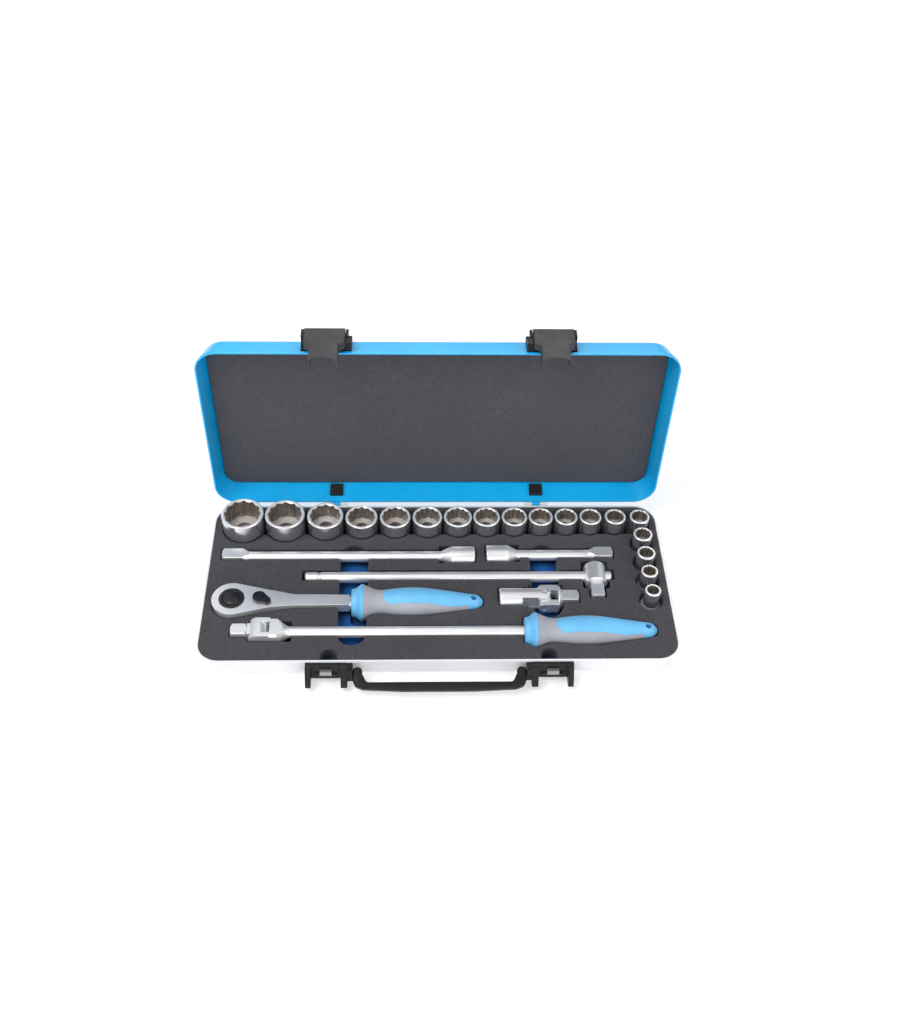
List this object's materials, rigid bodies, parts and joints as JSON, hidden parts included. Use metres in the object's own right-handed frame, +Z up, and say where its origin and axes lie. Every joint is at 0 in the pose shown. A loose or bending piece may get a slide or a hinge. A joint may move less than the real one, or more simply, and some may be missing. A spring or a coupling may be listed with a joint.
{
  "type": "socket wrench set in case",
  "caption": "Hinged metal case, open, with foam-bedded half-inch-drive sockets, ratchet, hinged bar, sliding T-handle, extension bars and a universal joint.",
  "frame": {"origin": "centre of the underside of the case base", "axes": "+X along the case's long side to the right, +Y back to the lid hinge, +Z up"},
  "size_m": [0.455, 0.2549, 0.2407],
  "materials": {
    "tray_paint": "satin",
    "lid_paint": "satin",
    "foam_dark": "matte",
    "foam_blue": "matte",
    "foam_liner": "matte",
    "black_plastic": "matte",
    "steel_plate": "satin",
    "socket_chrome": "satin",
    "tool_chrome": "satin",
    "grip_grey": "matte",
    "grip_blue": "matte",
    "tool_black": "satin"
  },
  "bodies": {
    "base": {"base_tray": "tray_paint", "foam_top": "foam_dark", "foam_bottom": "foam_blue", "base_hinges": "black_plastic", "hinge_pins": "steel_plate", "latch_bracket_left": "black_plastic", "latch_bracket_right": "black_plastic", "catch_plates": "steel_plate"},
    "handle": {"carry_handle": "black_plastic", "handle_pins": "steel_plate"},
    "lid": {"lid_shell": "lid_paint", "lid_liner": "foam_liner", "lid_hinges": "black_plastic", "latch_mount_left": "black_plastic", "latch_mount_right": "black_plastic", "latch_pins": "steel_plate"},
    "latch_left": {"latch_lever_left": "black_plastic"},
    "latch_right": {"latch_lever_right": "black_plastic"},
    "socket_32": {"socket_32": "socket_chrome"},
    "socket_30": {"socket_30": "socket_chrome"},
    "socket_27": {"socket_27": "socket_chrome"},
    "socket_24": {"socket_24": "socket_chrome"},
    "socket_23": {"socket_23": "socket_chrome"},
    "socket_22": {"socket_22": "socket_chrome"},
    "socket_21": {"socket_21": "socket_chrome"},
    "socket_20": {"socket_20": "socket_chrome"},
    "socket_19": {"socket_19": "socket_chrome"},
    "socket_18": {"socket_18": "socket_chrome"},
    "socket_17": {"socket_17": "socket_chrome"},
    "socket_16": {"socket_16": "socket_chrome"},
    "socket_15": {"socket_15": "socket_chrome"},
    "socket_14": {"socket_14": "socket_chrome"},
    "socket_13": {"socket_13": "socket_chrome"},
    "socket_12": {"socket_12": "socket_chrome"},
    "socket_11": {"socket_11": "socket_chrome"},
    "socket_10": {"socket_10": "socket_chrome"},
    "extension_long": {"extension_long": "tool_chrome", "extension_long_ball": "steel_plate"},
    "extension_short": {"extension_short": "tool_chrome", "extension_short_ball": "steel_plate"},
    "tee_bar": {"tee_bar": "tool_chrome"},
    "ratchet": {"ratchet_handle": "tool_chrome", "ratchet_cover": "tool_black", "ratchet_pawl": "steel_plate", "ratchet_grip": "grip_grey", "ratchet_trim": "grip_blue"},
    "breaker_bar": {"breaker_bar": "tool_chrome", "breaker_pin": "tool_chrome", "breaker_grip": "grip_grey", "breaker_trim": "grip_blue"},
    "uj_socket_end": {"uj_socket_yoke": "tool_chrome"},
    "tee_head": {"tee_head": "tool_chrome", "tee_ball": "steel_plate"},
    "ratchet_drive": {"ratchet_drive": "steel_plate"},
    "ratchet_button": {"ratchet_button": "tool_black"},
    "ratchet_lever": {"ratchet_lever": "tool_black"},
    "breaker_head": {"breaker_head": "tool_chrome"},
    "uj_cross": {"uj_cross": "tool_chrome"},
    "uj_drive_end": {"uj_drive_yoke": "tool_chrome"}
  },
  "joints": [
    {"name": "lid_hinge", "type": "hinge", "parent": "base", "child": "lid", "pos_m": [0, 0.1024, 0.026], "axis": [-1, 0, 0], "range_deg": [-89, 0]},
    {"name": "handle_swing", "type": "hinge", "parent": "base", "child": "handle", "pos_m": [0, -0.1045, 0.0165], "axis": [-1, 0, 0], "range_deg": [-50, 88]},
    {"name": "latch_left_flip", "type": "hinge", "parent": "lid", "child": "latch_left", "pos_m": [-0.106, 0.11876, 0.23472], "axis": [-1, 0, 0], "range_deg": [0, 100]},
    {"name": "latch_right_flip", "type": "hinge", "parent": "lid", "child": "latch_right", "pos_m": [0.106, 0.11876, 0.23472], "axis": [-1, 0, 0], "range_deg": [0, 100]},
    {"name": "socket_32_lift", "type": "slide", "parent": "base", "child": "socket_32", "axis": [0, 0, 1], "range_m": [0, 0.06]},
    {"name": "socket_30_lift", "type": "slide", "parent": "base", "child": "socket_30", "axis": [0, 0, 1], "range_m": [0, 0.06]},
    {"name": "socket_27_lift", "type": "slide", "parent": "base", "child": "socket_27", "axis": [0, 0, 1], "range_m": [0, 0.06]},
    {"name": "socket_24_lift", "type": "slide", "parent": "base", "child": "socket_24", "axis": [0, 0, 1], "range_m": [0, 0.06]},
    {"name": "socket_23_lift", "type": "slide", "parent": "base", "child": "socket_23", "axis": [0, 0, 1], "range_m": [0, 0.06]},
    {"name": "socket_22_lift", "type": "slide", "parent": "base", "child": "socket_22", "axis": [0, 0, 1], "range_m": [0, 0.06]},
    {"name": "socket_21_lift", "type": "slide", "parent": "base", "child": "socket_21", "axis": [0, 0, 1], "range_m": [0, 0.06]},
    {"name": "socket_20_lift", "type": "slide", "parent": "base", "child": "socket_20", "axis": [0, 0, 1], "range_m": [0, 0.06]},
    {"name": "socket_19_lift", "type": "slide", "parent": "base", "child": "socket_19", "axis": [0, 0, 1], "range_m": [0, 0.06]},
    {"name": "socket_18_lift", "type": "slide", "parent": "base", "child": "socket_18", "axis": [0, 0, 1], "range_m": [0, 0.06]},
    {"name": "socket_17_lift", "type": "slide", "parent": "base", "child": "socket_17", "axis": [0, 0, 1], "range_m": [0, 0.06]},
    {"name": "socket_16_lift", "type": "slide", "parent": "base", "child": "socket_16", "axis": [0, 0, 1], "range_m": [0, 0.06]},
    {"name": "socket_15_lift", "type": "slide", "parent": "base", "child": "socket_15", "axis": [0, 0, 1], "range_m": [0, 0.06]},
    {"name": "socket_14_lift", "type": "slide", "parent": "base", "child": "socket_14", "axis": [0, 0, 1], "range_m": [0, 0.06]},
    {"name": "socket_13_lift", "type": "slide", "parent": "base", "child": "socket_13", "axis": [0, 0, 1], "range_m": [0, 0.06]},
    {"name": "socket_12_lift", "type": "slide", "parent": "base", "child": "socket_12", "axis": [0, 0, 1], "range_m": [0, 0.06]},
    {"name": "socket_11_lift", "type": "slide", "parent": "base", "child": "socket_11", "axis": [0, 0, 1], "range_m": [0, 0.06]},
    {"name": "socket_10_lift", "type": "slide", "parent": "base", "child": "socket_10", "axis": [0, 0, 1], "range_m": [0, 0.06]},
    {"name": "extension_long_lift", "type": "slide", "parent": "base", "child": "extension_long", "axis": [0, 0, 1], "range_m": [0, 0.06]},
    {"name": "extension_short_lift", "type": "slide", "parent": "base", "child": "extension_short", "axis": [0, 0, 1], "range_m": [0, 0.06]},
    {"name": "tee_bar_lift", "type": "slide", "parent": "base", "child": "tee_bar", "axis": [0, 0, 1], "range_m": [0, 0.06]},
    {"name": "ratchet_lift", "type": "slide", "parent": "base", "child": "ratchet", "axis": [0, 0, 1], "range_m": [0, 0.06]},
    {"name": "breaker_bar_lift", "type": "slide", "parent": "base", "child": "breaker_bar", "axis": [0, 0, 1], "range_m": [0, 0.06]},
    {"name": "uj_socket_end_lift", "type": "slide", "parent": "base", "child": "uj_socket_end", "axis": [0, 0, 1], "range_m": [0, 0.06]},
    {"name": "tee_turn", "type": "hinge", "parent": "tee_bar", "child": "tee_head", "pos_m": [0.1565, 0.0053, 0.022], "axis": [-1, 0, 0], "range_deg": [0, 90]},
    {"name": "ratchet_spin", "type": "hinge", "parent": "ratchet", "child": "ratchet_drive", "pos_m": [-0.199, -0.0288, 0.022], "axis": [0, 0, 1], "continuous": true},
    {"name": "quick_release", "type": "slide", "parent": "ratchet_drive", "child": "ratchet_button", "axis": [0, 0, -1], "range_m": [0, 0.0018], "stiffness_N_per_m": 300, "springref_m": -0.001},
    {"name": "reverse_lever", "type": "hinge", "parent": "ratchet", "child": "ratchet_lever", "pos_m": [-0.1723, -0.0288, 0.032], "axis": [0, 0, 1], "range_deg": [0, 58]},
    {"name": "breaker_flex", "type": "hinge", "parent": "breaker_bar", "child": "breaker_head", "pos_m": [-0.171, -0.0644, 0.024], "axis": [0, 1, 0], "range_deg": [0, 90]},
    {"name": "uj_swing", "type": "hinge", "parent": "uj_socket_end", "child": "uj_cross", "pos_m": [0.103, -0.0225, 0.022], "axis": [0, 0, 1], "range_deg": [-3, 3]},
    {"name": "uj_tilt", "type": "hinge", "parent": "uj_cross", "child": "uj_drive_end", "pos_m": [0.103, -0.0225, 0.022], "axis": [0, -1, 0], "range_deg": [0, 45]}
  ]
}
